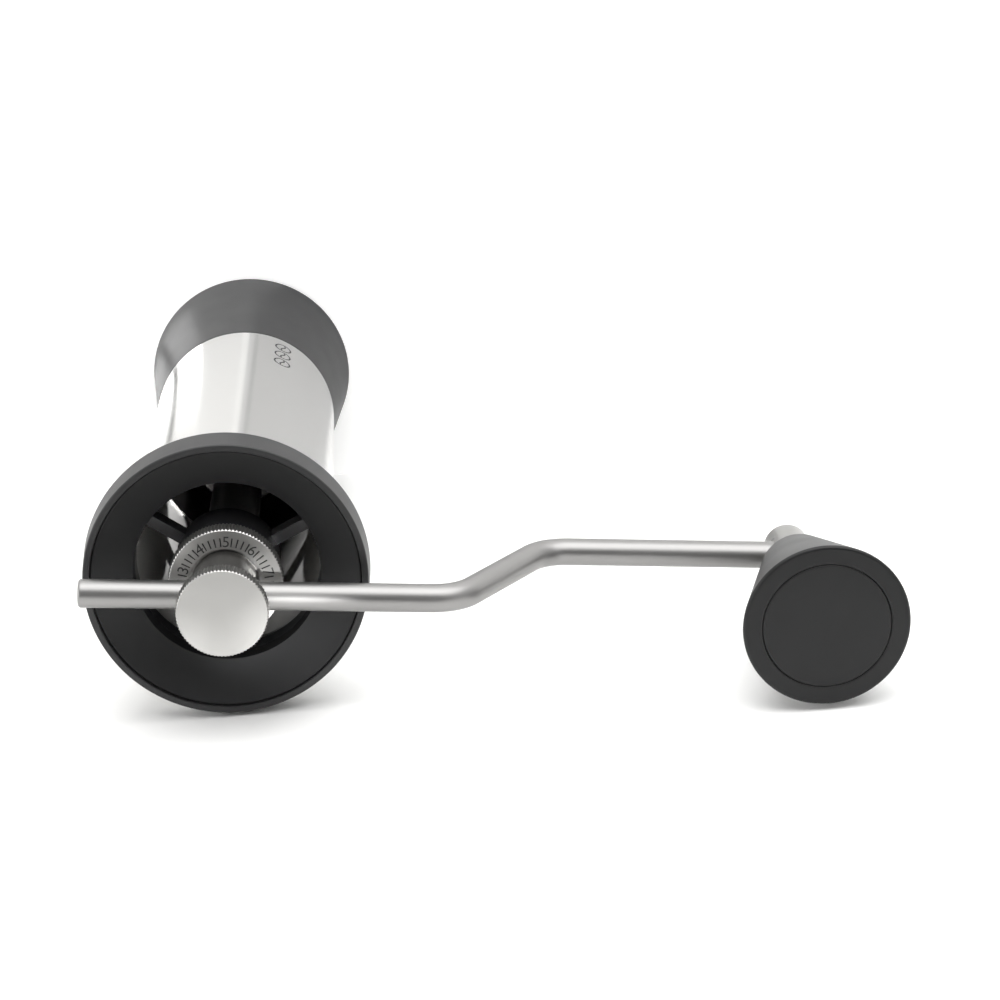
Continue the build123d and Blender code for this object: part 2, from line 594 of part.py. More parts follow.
# ---- Write one file for each piece ----
upper_outer, upper_inner, upper_balls = bearing(HUB_TOP - BEARING_WIDTH)
lower_outer, lower_inner, lower_balls = bearing(CARRIER_HUB_BOTTOM)
pieces = {
    "catch_cup": catch_cup(),
    "cup_magnets": Compound(magnet_holes()),
    "foot_pad": foot_pad(),
    "body_tube": body_tube(),
    "rim_collar": rim_collar(),
    "rim_seal": rim_seal(),
    "funnel_insert": funnel_insert(),
    "rim_screws": Compound(rim_screws()),
    "bearing_bridge": bearing_bridge(),
    "upper_bearing_outer_ring": upper_outer,
    "upper_bearing_inner_ring": upper_inner,
    "upper_bearing_balls": upper_balls,
    "burr_carrier": burr_carrier(),
    "lower_bearing_outer_ring": lower_outer,
    "lower_bearing_inner_ring": lower_inner,
    "lower_bearing_balls": lower_balls,
    "outer_burr": outer_burr(),
    "burr_retainer": burr_retainer(),
    "spigot_seal": spigot_seal(),
    "spacer_sleeve": spacer_sleeve(),
    "detent_disc": detent_disc(),
    "preload_spring": preload_spring(),
    "drive_axle": drive_axle(),
    "axle_key": axle_key(),
    "inner_burr": inner_burr(),
    "burr_washer": burr_washer(),
    "burr_screw": burr_screw(),
    "adjust_dial": adjust_dial(),
    "detent_ball": detent_ball(),
    "detent_spring": detent_spring(),
    "clamp_pad": clamp_pad(),
    "clamp_knob": clamp_knob(),
    "clamp_stud": clamp_stud(),
    "crank_rod": crank_rod(),
    "knob_post": knob_post(),
    "post_grub_screw": post_grub_screw(),
    "thrust_washer": thrust_washer(),
    "knob_axle": knob_axle(),
    "knob_shell": knob_shell(),
    "knob_end_cap": knob_end_cap(),
    "lower_knob_bush": lower_bush(),
    "upper_knob_bush": upper_bush(),
}
os.makedirs("parts", exist_ok=True)
for name, shape in pieces.items():
    export_step(shape, f"parts/{name}.step")
    print(f"{name}: {len(shape.solids())} solid, {shape.volume:.1f} mm3")
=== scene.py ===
# %% [markdown]
# # Hand crank coffee grinder
# The engineering model comes in as a fixed frame of closed solids, in metres, with +Z up the
# grinding axis and the crank arm along -X. This notebook puts finished surfaces around it. Most
# pieces of a grinder are turned on a lathe, so most new surfaces here are one profile carried
# round an axis. Each takes its size from the box of the solid that it stands for.

# %% Load the frame
import math

import bmesh
import bpy
import numpy as np
from mathutils import Matrix, Vector


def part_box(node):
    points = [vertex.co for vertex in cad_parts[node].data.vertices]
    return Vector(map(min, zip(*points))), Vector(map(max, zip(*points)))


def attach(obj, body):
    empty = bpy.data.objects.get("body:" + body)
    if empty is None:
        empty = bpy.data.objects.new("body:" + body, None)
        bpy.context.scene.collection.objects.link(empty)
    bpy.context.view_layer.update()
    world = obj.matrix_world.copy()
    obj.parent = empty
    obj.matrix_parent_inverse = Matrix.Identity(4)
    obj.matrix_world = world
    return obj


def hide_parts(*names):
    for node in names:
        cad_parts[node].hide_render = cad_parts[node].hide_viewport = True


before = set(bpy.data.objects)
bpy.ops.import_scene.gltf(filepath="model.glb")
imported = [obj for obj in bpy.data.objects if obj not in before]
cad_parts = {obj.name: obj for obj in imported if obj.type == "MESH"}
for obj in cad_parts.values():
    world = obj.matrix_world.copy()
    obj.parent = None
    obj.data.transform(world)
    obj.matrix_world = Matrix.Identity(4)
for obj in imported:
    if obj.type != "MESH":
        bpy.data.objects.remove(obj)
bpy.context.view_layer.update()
MM = 0.001


# %% [markdown]
# ## Reading sizes from the frame
# A turned piece has a centre line, a radius and two heights, and its solid's box holds all of
# them. Reading them here means that a new surface can never drift away from the solid.

# %% Sizes of turned pieces
def turned_size(node):
    """Radius, bottom height and top height of a node that is turned about Z, in millimetres."""
    low, high = (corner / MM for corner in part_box(node))
    return (high.y - low.y) / 2, low.z, high.z


CUP_R, CUP_BOTTOM, CUP_TOP = turned_size("catch_cup")
TUBE_R, TUBE_BOTTOM, TUBE_TOP = turned_size("body_tube")
RIM_R, RIM_BOTTOM, RIM_TOP = turned_size("rim_collar")
FUNNEL_R, FUNNEL_BOTTOM, _ = turned_size("funnel_insert")
DIAL_R, DIAL_BOTTOM, DIAL_TOP = turned_size("adjust_dial")
CAP_R, CAP_BOTTOM, CAP_TOP = turned_size("clamp_knob")
KNOB_R, KNOB_BOTTOM, KNOB_TOP = turned_size("knob_shell")
ROD_LOW, ROD_HIGH = (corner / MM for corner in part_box("crank_rod"))
ROD_R = (ROD_HIGH.y - ROD_LOW.y) / 2
CRANK_Z = ROD_HIGH.z - ROD_R
LOW_ROD_Z = ROD_LOW.z + ROD_R
KNOB_X = sum(corner.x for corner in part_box("knob_post")) / 2 / MM
print(f"tube {TUBE_R * 2:.1f} mm, rim {RIM_R * 2:.1f} mm, rod {ROD_R * 2:.1f} mm across")

# %% [markdown]
# ## Camera
# The grinder lies on its side towards the lens, so the camera looks almost straight down the
# grinding axis from above the rim. An upright part seen that way needs a high camera that is
# rolled to bring the crank level. A long lens keeps the far cup nearly as large as the rim.

# %% Camera
CAMERA_PLACE = Vector((-0.02723, -0.24183, 0.87436))
CAMERA_AIM = Vector((-0.07765, -0.01885, 0.20))
CAMERA_ROLL = math.radians(168.88)
LENS_MM = 88.93
SENSOR_MM = 36.0

line_of_sight = CAMERA_AIM - CAMERA_PLACE
level = line_of_sight.to_track_quat("-Z", "Y").to_matrix().to_4x4()
camera = bpy.data.objects.new("camera", bpy.data.cameras.new("camera"))
camera.data.lens = LENS_MM
camera.data.sensor_width = SENSOR_MM
camera.data.clip_start = 10 * MM
camera.matrix_world = Matrix.Translation(CAMERA_PLACE) @ level @ Matrix.Rotation(CAMERA_ROLL, 4, "Z")
bpy.context.scene.collection.objects.link(camera)
bpy.context.scene.camera = camera
print(f"camera {line_of_sight.length / MM:.0f} mm from its aim")


# %% [markdown]
# ## Colours and nodes
# Colours are written as sRGB hex, as a paint chart gives them, and turned to the linear values
# that the renderer counts in. One helper adds a node with its settings and its links.

# %% Colour and node helpers
def linear(hex_colour):
    """Linear RGBA of an sRGB hex colour such as "c0c0c0"."""
    channels = np.array([int(hex_colour[i:i + 2], 16) for i in (0, 2, 4)]) / 255
    curved = ((channels + 0.055) / 1.055) ** 2.4
    return (*np.where(channels <= 0.04045, channels / 12.92, curved).tolist(), 1.0)


def add_node(tree, kind, settings=(), links=()):
    """New node: settings are attributes or input values, links are its inputs' sources."""
    node = tree.nodes.new("ShaderNode" + kind)
    for name, value in dict(settings).items():
        if hasattr(node, name):
            setattr(node, name, value)
        else:
            node.inputs[name].default_value = value
    for name, source in dict(links).items():
        tree.links.new(source, node.inputs[name])
    return node


def new_material(name, **shader):
    """Material with one Principled shader, whose sockets take the given values."""
    material = bpy.data.materials.new(name)
    material.use_nodes = True
    surface = material.node_tree.nodes["Principled BSDF"]
    for socket, value in shader.items():
        surface.inputs[socket.replace("_", " ")].default_value = value
    return material, material.node_tree, surface


# %% [markdown]
# ## Turned surfaces
# A lathe cuts the same outline at every angle. The outline is a few corners, and a real edge is
# never quite sharp, so each corner is given a small arc. That arc is what catches the light.
# Support points beside each arc keep the flats flat under smooth shading.

# %% Profiles with rounded corners
ARC_STEPS = 6
SUPPORT = 0.05


def rounded_profile(corners, closed=False):
    """Points in mm along straight sides joined by arcs that are tangent to both their sides.

    Each corner is (across, along, rounding). An arc of radius r in a corner of angle t starts
    r / tan(t / 2) before the corner, and its centre is r / sin(t / 2) away on the bisector.
    """
    corners = np.array(corners, float)
    count = len(corners)
    pieces = []
    for place, (x, y, radius) in enumerate(corners):
        here = np.array((x, y))
        if not closed and place in (0, count - 1):
            pieces.append(here[None])
            continue
        before = corners[place - 1, :2] - here
        after = corners[(place + 1) % count, :2] - here
        before_length, after_length = np.linalg.norm(before), np.linalg.norm(after)
        before, after = before / before_length, after / after_length
        half = np.arccos(np.clip(before @ after, -1, 1)) / 2
        setback = radius / np.tan(half)
        bisector = (before + after) / np.linalg.norm(before + after)
        centre = here + bisector * radius / np.sin(half)
        start, end = here + before * setback - centre, here + after * setback - centre
        sweep = np.pi - 2 * half
        share = np.linspace(0, 1, ARC_STEPS + 1)[:, None]
        arc = centre + (np.sin((1 - share) * sweep) * start + np.sin(share * sweep) * end) / np.sin(sweep)
        first = arc[0] + before * min(SUPPORT, max(before_length - setback, 0) / 3)
        last = arc[-1] + after * min(SUPPORT, max(after_length - setback, 0) / 3)
        pieces.append(np.vstack((first, arc, last)))
    return np.vstack(pieces)


# %% [markdown]
# ## From a grid of points to a mesh
# Every new piece is a grid of points with two parameters. Neighbours in the grid make quads.
# Points that fall together on an axis are merged, so that poles are closed, and the normals are
# then turned outwards. Edges sharper than a set angle keep a crisp highlight.

# %% Grid to mesh
SHARP_ANGLE = math.radians(32)


def grid_object(name, points, wrap_rows=False, wrap_columns=True):
    """Object whose faces join neighbouring points of an array of shape (rows, columns, 3)."""
    rows, columns = points.shape[:2]
    index = np.arange(rows * columns).reshape(rows, columns)
    if wrap_rows:
        index = np.vstack((index, index[:1]))
    if wrap_columns:
        index = np.hstack((index, index[:, :1]))
    quads = np.stack((index[:-1, :-1], index[:-1, 1:], index[1:, 1:], index[1:, :-1]), axis=-1)
    quads = quads.reshape(-1, 4)
    mesh = bpy.data.meshes.new(name)
    mesh.vertices.add(rows * columns)
    mesh.vertices.foreach_set("co", points.astype(np.float32).ravel())
    mesh.loops.add(quads.size)
    mesh.loops.foreach_set("vertex_index", quads.astype(np.int32).ravel())
    mesh.polygons.add(len(quads))
    mesh.polygons.foreach_set("loop_start", np.arange(0, quads.size, 4, dtype=np.int32))
    mesh.update(calc_edges=True)
    tidy_mesh(mesh)
    piece = bpy.data.objects.new(name, mesh)
    bpy.context.scene.collection.objects.link(piece)
    print(f"{name}: {len(mesh.polygons)} faces")
    return piece


def tidy_mesh(mesh):
    """Merges points that coincide, turns normals outwards and marks the sharp edges."""
    shape = bmesh.new()
    shape.from_mesh(mesh)
    bmesh.ops.remove_doubles(shape, verts=shape.verts, dist=1e-7)
    bmesh.ops.recalc_face_normals(shape, faces=shape.faces)
    shape.to_mesh(mesh)
    shape.free()
    mesh.polygons.foreach_set("use_smooth", np.ones(len(mesh.polygons), bool))
    mesh.set_sharp_from_angle(angle=SHARP_ANGLE)


def lathe(name, profile, columns=240, centre_x=0.0, closed=True, relief=None):
    """Surface turned about a vertical axis: radius and height of a profile in mm, all angles.

    A point is (radius cos a, radius sin a, height). relief(radius, height, a) may change the
    radius and the height with the angle, as a knurling wheel or an engraving tool does.
    """
    angle = np.arange(columns) * 2 * np.pi / columns
    radius = np.repeat(profile[:, :1], columns, axis=1)
    height = np.repeat(profile[:, 1:2], columns, axis=1)
    if relief:
        radius, height = relief(radius, height, angle[None])
    points = np.stack((radius * np.cos(angle), radius * np.sin(angle), height), axis=-1) * MM
    points[..., 0] += centre_x
    return grid_object(name, points, wrap_rows=closed)


# %% [markdown]
# ## Stage and light
# The set is a pale floor under the cup, and a pale board behind the grinder that the rim all but
# touches, as the table does when the grinder lies down. The board shows one face only, so that
# it never hides the grinder. Both are matt, and the floor glows faintly, so that it stays white.

# %% Floor and board
def stage_sheet(name, corners, hex_colour, one_sided=False, glow=0.0):
    """Flat matt stage piece with four corners, which may glow, and may be clear from behind."""
    mesh = bpy.data.meshes.new(name)
    mesh.from_pydata(corners, [], [(0, 1, 2, 3)])
    sheet = bpy.data.objects.new(name, mesh)
    bpy.context.scene.collection.objects.link(sheet)
    material, tree, surface = new_material(name + "_paint", Base_Color=linear(hex_colour), Roughness=0.9,
                                           Emission_Color=linear("ffffff"), Emission_Strength=glow)
    if one_sided:
        clear = add_node(tree, "BsdfTransparent")
        side = add_node(tree, "NewGeometry")
        mix = add_node(tree, "MixShader")
        tree.links.new(side.outputs["Backfacing"], mix.inputs[0])
        tree.links.new(surface.outputs[0], mix.inputs[1])
        tree.links.new(clear.outputs[0], mix.inputs[2])
        tree.links.new(mix.outputs[0], tree.nodes["Material Output"].inputs["Surface"])
    mesh.materials.append(material)
    return sheet


PALE = "f4f4f3"
FLOOR_HALF = 3.0       # metres
floor_corners = [(x * FLOOR_HALF, y * FLOOR_HALF, 0) for x, y in ((-1, -1), (1, -1), (1, 1), (-1, 1))]
stage_sheet("floor", floor_corners, PALE, glow=0.25)

BOARD_TURN = math.radians(5.6)
BOARD_HALF = 1.2       # metres
BOARD_HEIGHT = 0.45    # metres
BOARD_GAP = 0.6        # mm, from the rim
along = Vector((math.cos(BOARD_TURN), math.sin(BOARD_TURN), 0))
outward = Vector((-math.sin(BOARD_TURN), math.cos(BOARD_TURN), 0))
foot = outward * (RIM_R + BOARD_GAP) * MM
rise = Vector((0, 0, BOARD_HEIGHT))
board_corners = [foot - along * BOARD_HALF, foot + along * BOARD_HALF,
                 foot + along * BOARD_HALF + rise, foot - along * BOARD_HALF + rise]
stage_sheet("board", [tuple(corner) for corner in board_corners], PALE, one_sided=True)


# %% [markdown]
# Polished steel shows its surroundings as stripes. Pieces of card lie on the floor round the cup,
# hidden from the camera, and the tube mirrors each as a band up its length: the dark one as a
# line, the grey ones as soft bands and the pale ones as white. The pale ones beside the line are
# cut into rings that glow less and less outwards, so that the white fades evenly up the tube.

# %% Cards
CARD_LIFT = 0.6
CARD_NEAR = 42
CARD_REACH = 190


def floor_card(name, from_r, to_r, from_degrees, to_degrees, hex_colour, glow=0.0):
    """Card with its four corners at two radii in mm and two angles, seen only by reflection."""
    ends = ((from_r, from_degrees), (to_r, from_degrees), (to_r, to_degrees), (from_r, to_degrees))
    turned = [(radius, math.radians(degrees)) for radius, degrees in ends]
    corners = [(radius * math.cos(turn) * MM, radius * math.sin(turn) * MM, CARD_LIFT * MM)
               for radius, turn in turned]
    card = stage_sheet(name, corners, hex_colour, glow=glow)
    card.visible_camera = card.visible_shadow = card.visible_diffuse = False


floor_card("card_right", CARD_NEAR, CARD_REACH, -196, -99, "d6d6d6")
floor_card("card_band", CARD_NEAR, CARD_REACH, -99, -95, "c4c4c4")
floor_card("card_blend", CARD_NEAR, CARD_REACH, -95, -90, "e0e0e0")
floor_card("card_front", CARD_NEAR, CARD_REACH, -84, -46, PALE, 0.12)
GLOW_RINGS = ((CARD_NEAR, 58, 1.9), (58, 66, 0.9), (66, 76, 0.4), (76, CARD_REACH, 0.12))
for number, (from_r, to_r, glow) in enumerate(GLOW_RINGS):
    floor_card(f"card_left_{number}", from_r, to_r, -46, -19, PALE, glow)
    floor_card(f"card_beside_{number}", from_r, to_r, -12.5, 20, PALE, glow)
floor_card("card_line", CARD_NEAR, 120, -19, -12.5, "181818")


# %% [markdown]
# A large softbox in front gives satin steel its broad highlights, and a weaker one at the side
# fills the shadows. Two narrow spots shine down into the hopper, where they draw the bright
# streaks on the tube's honed inside and miss the black rim above it.

# %% Lights
def place_lamp(name, light, place, aim):
    """Lamp at a place, turned towards a point."""
    lamp = bpy.data.objects.new(name, light)
    turn = (Vector(aim) - Vector(place)).to_track_quat("-Z", "Y").to_matrix().to_4x4()
    lamp.matrix_world = Matrix.Translation(place) @ turn
    bpy.context.scene.collection.objects.link(lamp)
    return lamp


def softbox(name, place, aim, width, height, watts):
    """Rectangular area light, its sides in metres, which the camera doesn't see."""
    light = bpy.data.lights.new(name, "AREA")
    light.shape = "RECTANGLE"
    light.size = width
    light.size_y = height
    light.energy = watts
    place_lamp(name, light, place, aim).visible_camera = False


def narrow_spot(name, place, aim, cone_degrees, watts):
    """Small spotlight with a narrow, soft-edged cone."""
    light = bpy.data.lights.new(name, "SPOT")
    light.energy = watts
    light.spot_size = math.radians(cone_degrees)
    light.spot_blend = 0.5
    light.shadow_soft_size = 10 * MM
    place_lamp(name, light, place, aim)


softbox("overhead", (-0.15, -1.1, 0.45), (-0.05, 0, 0.12), width=1.6, height=1.2, watts=20)
softbox("side", (1.2, -0.1, 0.55), (-0.05, 0, 0.15), width=0.8, height=0.8, watts=7)
narrow_spot("hopper_spot", (-0.40, -0.008, 1.26), (0.019, 0.014, 0.135), cone_degrees=1.6, watts=170)
narrow_spot("hopper_spot_right", (0.38, 0.0, 1.26), (-0.019, 0.017, 0.16), cone_degrees=0.9, watts=80)
print("two softboxes and two spots")

# %% [markdown]
# The sky is dark overhead and bright lower down. The flat faces of the rim and the knob mirror
# the part overhead and stay black, while the sides of the tube and the rod mirror the bright part.

# %% Sky
def studio_sky(dark_towards, dark_degrees, light_degrees, dark, light):
    """World whose light grows from dark to light with the angle from one direction."""
    world = bpy.data.worlds.new("studio")
    world.use_nodes = True
    tree = world.node_tree
    ray = add_node(tree, "TexCoord").outputs["Generated"]
    toward = Vector(dark_towards).normalized()
    closeness = add_node(tree, "VectorMath", {"operation": "DOT_PRODUCT"}, {0: ray})
    closeness.inputs[1].default_value = toward
    level = add_node(tree, "MapRange", {"interpolation_type": "SMOOTHSTEP",
                                        "From Min": math.cos(math.radians(light_degrees)),
                                        "From Max": math.cos(math.radians(dark_degrees)),
                                        "To Min": light, "To Max": dark},
                     {"Value": closeness.outputs["Value"]})
    background = tree.nodes["Background"]
    background.inputs["Color"].default_value = linear("f7f7f7")
    tree.links.new(level.outputs["Result"], background.inputs["Strength"])
    return world


OVERHEAD = (0.0, -0.25, 1.0)
bpy.context.scene.world = studio_sky(OVERHEAD, dark_degrees=12, light_degrees=50, dark=0.12, light=0.75)
bpy.context.scene.view_settings.view_transform = "Standard"


# %% [markdown]
# ## Steel finishes
# Stainless steel is grey-white and fully metallic, so its look is all in how it was worked. A
# lathe leaves rings, a bar mill leaves lines along the rod, and polishing leaves a mirror. The
# rings and lines are shallow height noise that is long in one direction and fine in the other.

# %% Steel materials
SMUDGE_MM = 9.0


def ring_normal(tree, place, ring_mm, depth_mm, centre_mm):
    """Normals of tool rings: 1D noise along the distance from a vertical axis plus the height."""
    moved = add_node(tree, "Mapping", {"Location": (-centre_mm * MM, 0, 0)}, {"Vector": place})
    parts = add_node(tree, "SeparateXYZ", (), {"Vector": moved.outputs["Vector"]})
    flat = add_node(tree, "CombineXYZ", (), {"X": parts.outputs["X"], "Y": parts.outputs["Y"]})
    reach = add_node(tree, "VectorMath", {"operation": "LENGTH"}, {"Vector": flat.outputs[0]})
    along = add_node(tree, "Math", {"operation": "ADD"})
    tree.links.new(reach.outputs["Value"], along.inputs[0])
    tree.links.new(parts.outputs["Z"], along.inputs[1])
    rings = add_node(tree, "TexNoise", {"noise_dimensions": "1D", "Scale": 1 / (ring_mm * MM),
                                        "Detail": 1.0}, {"W": along.outputs[0]})
    bump = add_node(tree, "Bump", {"Strength": 1.0, "Distance": depth_mm * MM},
                    {"Height": rings.outputs["Fac"]})
    return bump.outputs[0]


def worked_steel(name, hex_colour, roughness, ring_mm=0.0, depth_mm=0.0, centre_mm=0.0, smudge=0.05):
    """Metal with or without tool rings, whose roughness drifts by smudge over a few mm."""
    material, tree, surface = new_material(name, Base_Color=linear(hex_colour), Metallic=1.0)
    place = add_node(tree, "TexCoord").outputs["Object"]
    drift = add_node(tree, "TexNoise", {"Scale": 1 / (SMUDGE_MM * MM), "Detail": 2.0}, {"Vector": place})
    spread = add_node(tree, "MapRange", {"To Min": roughness - smudge, "To Max": roughness + smudge},
                      {"Value": drift.outputs["Fac"]})
    tree.links.new(spread.outputs["Result"], surface.inputs["Roughness"])
    if ring_mm:
        tree.links.new(ring_normal(tree, place, ring_mm, depth_mm, centre_mm), surface.inputs["Normal"])
    return material


def draw_out_highlights(material, amount, turn):
    """Stretches a steel's highlights along the axis, across the fine lines that go round it."""
    tree = material.node_tree
    surface = tree.nodes["Principled BSDF"]
    surface.inputs["Anisotropic"].default_value = amount
    surface.inputs["Anisotropic Rotation"].default_value = turn
    round_about = add_node(tree, "Tangent", {"direction_type": "RADIAL", "axis": "Z"})
    tree.links.new(round_about.outputs[0], surface.inputs["Tangent"])


# The tube is polished as it turns, so it mirrors its surroundings, slightly blurred.
tube_steel = worked_steel("stainless_tube_polished_round", "cfcecc", 0.17, 0.35, 0.003, smudge=0.04)
# A hone leaves fine lines round the bore, which draw each light out into a streak.
hone_steel = worked_steel("stainless_honed_round", "d6d5d3", 0.34, smudge=0.03)
draw_out_highlights(hone_steel, 0.85, 0.25)
# Fine turning leaves rings that scatter light into a soft satin sheen.
turned_steel = worked_steel("stainless_fine_turned", "a8a7a5", 0.36, 0.22, 0.006)
# The dial is the same turned steel with a paler colour: painted light, to make up for the dark sky overhead
# that its face mirrors.
dial_steel_painted_lighter = worked_steel("stainless_fine_turned_dial_painted_lighter", "b6b5b3", 0.38, 0.22, 0.006)
neck_steel = worked_steel("stainless_satin_neck", "9d9c9a", 0.3, 0.3, 0.003)
post_steel = worked_steel("stainless_turned_post", "989795", 0.28, 0.3, 0.005, KNOB_X)
# Ground steel is a little darker, and a polished bearing ring is nearly a mirror.
inner_steel = worked_steel("steel_ground_inner", "8f8e8d", 0.32, 0.4, 0.004)
bright_steel = worked_steel("steel_bearing_polished", "c9c9ca", 0.12)
print("steel finishes ready")


# %% [markdown]
# The crank is drawn bar. Its satin lines run along the bar and round its bends, so they follow
# an attribute that is stored on the rod: the direction round the bar, and the way along it.

# %% Drawn bar material
LINE_LENGTH = 40.0
BAR_SPREAD = 0.05


def drawn_bar(name, hex_colour, roughness, line_mm, depth_mm):
    """Steel bar with fine lines along its length, read from the rod's own grain attribute."""
    material, tree, surface = new_material(name, Base_Color=linear(hex_colour), Metallic=1.0)
    grain = add_node(tree, "Attribute", {"attribute_name": "grain"}).outputs["Vector"]
    across = ROD_R / line_mm
    ahead = 1 / (LINE_LENGTH * MM)
    long_lines = add_node(tree, "Mapping", {"Scale": (across, across, ahead)}, {"Vector": grain})
    lines = add_node(tree, "TexNoise", {"Scale": 1.0, "Detail": 2.0}, {"Vector": long_lines.outputs[0]})
    bump = add_node(tree, "Bump", {"Strength": 1.0, "Distance": depth_mm * MM},
                    {"Height": lines.outputs["Fac"]})
    tree.links.new(bump.outputs[0], surface.inputs["Normal"])
    limits = {"To Min": roughness - BAR_SPREAD, "To Max": roughness + BAR_SPREAD}
    spread = add_node(tree, "MapRange", limits, {"Value": lines.outputs["Fac"]})
    tree.links.new(spread.outputs["Result"], surface.inputs["Roughness"])
    return material


rod_steel = drawn_bar("stainless_bar_satin", "929190", 0.42, 0.4, 0.002)


# %% [markdown]
# ## Black finishes
# The cup and rim are aluminium, bead blasted and anodised black: a dark skin that turns grey
# where it is seen along the surface. The knob is a moulded plastic with a finer, softer grain.
# The funnel is a duller nylon, and the seals and the foot are rubber, the roughest of them all.

# %% Black materials
CLOUD_MM = 14.0
CLOUD_SPREAD = 0.04


def blasted_black(name, hex_colour, roughness, grit_mm, depth_mm, specular):
    """Matt black with a fine pitted grain, slightly uneven in gloss."""
    material, tree, surface = new_material(name, Base_Color=linear(hex_colour), Specular_IOR_Level=specular)
    place = add_node(tree, "TexCoord").outputs["Object"]
    grit = add_node(tree, "TexNoise", {"Scale": 1 / (grit_mm * MM), "Detail": 3.0}, {"Vector": place})
    bump = add_node(tree, "Bump", {"Strength": 1.0, "Distance": depth_mm * MM},
                    {"Height": grit.outputs["Fac"]})
    tree.links.new(bump.outputs[0], surface.inputs["Normal"])
    cloud = add_node(tree, "TexNoise", {"Scale": 1 / (CLOUD_MM * MM), "Detail": 2.0}, {"Vector": place})
    limits = {"To Min": roughness - CLOUD_SPREAD, "To Max": roughness + CLOUD_SPREAD}
    spread = add_node(tree, "MapRange", limits, {"Value": cloud.outputs["Fac"]})
    tree.links.new(spread.outputs["Result"], surface.inputs["Roughness"])
    return material


black_anodised = blasted_black("aluminium_black_anodised_blasted", "1f1f20", 0.45, 0.35, 0.012, 0.5)
black_plastic = blasted_black("abs_black_fine_texture", "121213", 0.42, 0.3, 0.010, 0.34)
funnel_black = blasted_black("nylon_black_matt", "1a1a1b", 0.55, 0.4, 0.010, 0.35)
rubber_black = blasted_black("rubber_black_matt", "161616", 0.7, 0.5, 0.015, 0.3)
print("black finishes ready")


# %% [markdown]
# ## Catch cup
# The cup is one turned aluminium piece that widens towards the table. Its upper edge is level
# with the tube, and its mouth is bored out to take the spigot that centres the grinder on it.

# %% Catch cup
MOUTH_INSET = 1.5      # the mouth is this much narrower than the burr retainer's flange, in radius
MOUTH_DEPTH = 9.3
MOUTH_BEVEL = 1.2
CUP_WALL = 4.0
CUP_FLOOR = 6.0


def finish(piece, body, slot, material, *nodes):
    """Gives a piece its material and its body, and hides the solids it stands for; the slot is not used."""
    piece.data.materials.append(material)
    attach(piece, body)
    if nodes:
        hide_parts(*nodes)
    return piece


cup_mouth_r = turned_size("burr_retainer")[0] - MOUTH_INSET
ledge_z = CUP_TOP - MOUTH_DEPTH
cup_profile = rounded_profile([
    (0, CUP_BOTTOM, 0), (CUP_R, CUP_BOTTOM, 0.8), (TUBE_R, CUP_TOP, 0.5), (cup_mouth_r, CUP_TOP, 0.4),
    (cup_mouth_r, ledge_z, 0.5), (cup_mouth_r - MOUTH_BEVEL, ledge_z - MOUTH_BEVEL, 0.5),
    (CUP_R - CUP_WALL, CUP_FLOOR, 3.0), (0, CUP_FLOOR, 0)])
finish(lathe("cup_shell", cup_profile, closed=False), "cup", "black_anodised", black_anodised, "catch_cup")


# %% [markdown]
# ## Tube
# The body is one length of stainless tube. Its outside is polished as it turns, and its inside
# is honed so that beans and grounds slide off. One surface carries both finishes, shared out
# by radius, and the wall is thinner at both ends where the inner pieces seat.

# %% Tube
CHAMBER_WALL = 3.0
SEAT_WALL = 2.0
INSIDE_MARGIN = 0.3


def face_centres(piece):
    """Middle of each face in mm, as a row each of x, y and z."""
    centres = np.empty(len(piece.data.polygons) * 3, np.float32)
    piece.data.polygons.foreach_get("center", centres)
    return centres.reshape(-1, 3).T / MM


def coat_faces(piece, chosen, material):
    """Gives the chosen faces of a piece a second material."""
    piece.data.materials.append(material)
    piece.data.polygons.foreach_set("material_index", chosen.astype(np.int32))
    print(f"{piece.name}: {chosen.sum()} faces in {material.name}")


bridge_z = turned_size("bearing_bridge")[1]
carrier_z = turned_size("burr_carrier")[2]
seat_r, chamber_r = TUBE_R - SEAT_WALL, TUBE_R - CHAMBER_WALL
tube_profile = rounded_profile([
    (seat_r, TUBE_BOTTOM, 0.2), (TUBE_R, TUBE_BOTTOM, 0.4),
    (TUBE_R, TUBE_TOP, 0.4), (seat_r, TUBE_TOP, 0.2),
    (seat_r, bridge_z, 0.1), (chamber_r, bridge_z, 0.2), (chamber_r, carrier_z, 0.2),
    (seat_r, carrier_z, 0.1)], closed=True)
tube = finish(lathe("tube_shell", tube_profile, 360), "body", "tube_steel", tube_steel, "body_tube")
tube_x, tube_y, _ = face_centres(tube)
coat_faces(tube, np.hypot(tube_x, tube_y) < seat_r + INSIDE_MARGIN, hone_steel)


# %% [markdown]
# ## Hopper rim
# The rim is a blasted black collar with a narrow lip. A matt funnel is set into it, a hair
# below the lip, and slopes down to the mouth. The step between them reads as one fine dark line.

# %% Rim collar and funnel
RIM_TAPER = 0.7
FUNNEL_STEP = 0.6
FUNNEL_DEPTH = 8.0
MOUTH_STEP = 1.5
collar_profile = rounded_profile([
    (TUBE_R, RIM_BOTTOM, 0.2), (RIM_R, RIM_BOTTOM, 1.0), (RIM_R - RIM_TAPER, RIM_TOP, 0.5),
    (FUNNEL_R, RIM_TOP, 0.35), (FUNNEL_R, TUBE_TOP, 0.1), (TUBE_R, TUBE_TOP, 0.1)], closed=True)
finish(lathe("rim_ring", collar_profile, 360), "body", "black_plastic", black_anodised, "rim_collar")
mouth_r = seat_r - MOUTH_STEP
funnel_profile = rounded_profile([
    (mouth_r, FUNNEL_BOTTOM, 0.2), (seat_r, FUNNEL_BOTTOM, 0.2), (seat_r, TUBE_TOP, 0.1),
    (FUNNEL_R, TUBE_TOP, 0.2), (FUNNEL_R, RIM_TOP - FUNNEL_STEP, 0.5),
    (mouth_r, RIM_TOP - FUNNEL_DEPTH, 0.25)], closed=True)
